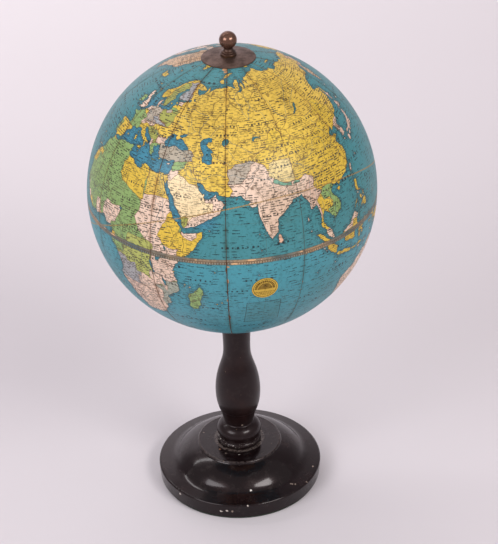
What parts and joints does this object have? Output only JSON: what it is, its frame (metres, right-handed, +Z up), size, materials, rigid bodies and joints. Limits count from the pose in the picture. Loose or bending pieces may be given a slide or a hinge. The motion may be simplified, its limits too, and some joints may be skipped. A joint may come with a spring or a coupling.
{
  "type": "desktop globe on stand",
  "caption": "Terrestrial desk globe that turns on an upright axle, on a turned wooden pillar and round foot, with an hour disc and a ball finial.",
  "frame": {"origin": "centre of the felt pad's underside, where the globe stands", "axes": "+Z up along the axle; -Y is the front, where the 60 degree east meridian lies at rest"},
  "size_m": [0.254, 0.254, 0.4565],
  "materials": {
    "black_lacquer": "ebonised hardwood under aged semi-gloss black lacquer",
    "felt": "dark green pressed felt",
    "steel": "plain turned steel",
    "fibre": "red-brown vulcanised fibre",
    "bronze": "dark bronzed brass, satin",
    "bush_brass": "plain turned brass",
    "board": "pressed paper board, raw",
    "wound_paper": "wound kraft paper",
    "block_wood": "raw softwood",
    "printed_paper": "printed paper under aged glossy varnish",
    "gold_foil": "embossed gold foil"
  },
  "bodies": {
    "stand": {"base_turning": "black_lacquer", "felt_pad": "felt", "pillar": "black_lacquer", "axle_rod": "steel", "axle_collar": "steel", "foot_washer": "steel", "foot_nut": "steel", "thrust_washer": "fibre", "finial": "bronze"},
    "globe": {"shell_north": "board", "shell_south": "board", "equator_hoop": "board", "centre_tube": "wound_paper", "pole_block_north": "block_wood", "pole_block_south": "block_wood", "pole_bush_north": "bush_brass", "pole_bush_south": "bush_brass", "calotte_north": "printed_paper", "calotte_south": "printed_paper", "seal": "gold_foil", "gore_north_000": "printed_paper", "gore_north_030": "printed_paper", "gore_north_060": "printed_paper", "gore_north_090": "printed_paper", "gore_north_120": "printed_paper", "gore_north_150": "printed_paper", "gore_north_180": "printed_paper", "gore_north_210": "printed_paper", "gore_north_240": "printed_paper", "gore_north_270": "printed_paper", "gore_north_300": "printed_paper", "gore_north_330": "printed_paper", "gore_south_000": "printed_paper", "gore_south_030": "printed_paper", "gore_south_060": "printed_paper", "gore_south_090": "printed_paper", "gore_south_120": "printed_paper", "gore_south_150": "printed_paper", "gore_south_180": "printed_paper", "gore_south_210": "printed_paper", "gore_south_240": "printed_paper", "gore_south_270": "printed_paper", "gore_south_300": "printed_paper", "gore_south_330": "printed_paper"},
    "dial": {"hour_dial": "bronze", "dial_washer": "bush_brass"}
  },
  "joints": [
    {"name": "globe_spin", "type": "hinge", "parent": "stand", "child": "globe", "pos_m": [0, 0, 0.308], "axis": [0, 0, 1], "continuous": true},
    {"name": "dial_turn", "type": "hinge", "parent": "stand", "child": "dial", "pos_m": [0, 0, 0.4355], "axis": [0, 0, 1], "continuous": true}
  ]
}
